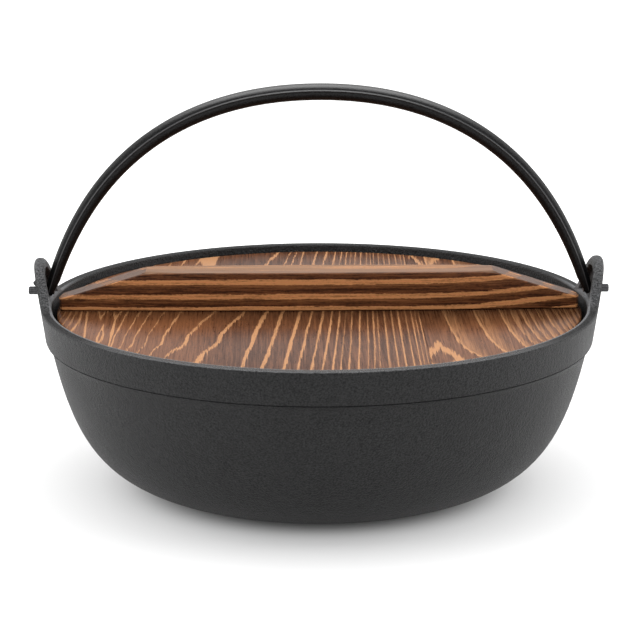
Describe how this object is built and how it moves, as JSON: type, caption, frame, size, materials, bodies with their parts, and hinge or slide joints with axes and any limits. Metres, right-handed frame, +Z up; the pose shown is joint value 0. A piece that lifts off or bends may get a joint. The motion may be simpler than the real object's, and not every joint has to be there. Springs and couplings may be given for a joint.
{
  "type": "cast iron hot pot",
  "caption": "Shallow flared cast iron pot with two ears, a swinging arched bail and a drop-in wooden lid with a cross bar for a grip.",
  "frame": {"origin": "on the table, under the middle of the pot's base", "axes": "+Z up, +X along the bail's pivot axis to the right as seen from the front, -Y to the front"},
  "size_m": [0.2922, 0.2798, 0.203],
  "materials": {
    "pot_iron": "matte black seasoned sand casting",
    "bail_iron": "matte black casting with a parting seam",
    "pin_steel": "blackened grooved steel pin",
    "lid_wood": "scorched and brushed softwood, light late-wood lines",
    "bar_wood": "scorched softwood, striped grain along the bar",
    "dowel_wood": "plain turned wood",
    "screw_steel": "plain steel"
  },
  "bodies": {
    "pot": {"pot_body": "pot_iron"},
    "bail": {"bail_handle": "bail_iron", "pivot_pin_left": "pin_steel", "pivot_pin_right": "pin_steel"},
    "lid": {"lid_board_wide": "lid_wood", "lid_board_narrow": "lid_wood", "lid_bar": "bar_wood", "lid_screw_1": "screw_steel", "lid_screw_2": "screw_steel", "lid_screw_3": "screw_steel", "lid_screw_4": "screw_steel", "edge_dowel_front": "dowel_wood", "edge_dowel_rear": "dowel_wood"}
  },
  "joints": [
    {"name": "bail_swing", "type": "hinge", "parent": "pot", "child": "bail", "pos_m": [0, 0, 0.0987], "axis": [1, 0, 0], "range_deg": [-90, 90]},
    {"name": "lid_lift", "type": "slide", "parent": "pot", "child": "lid", "axis": [0, 0, 1], "range_m": [0, 0.004]}
  ]
}
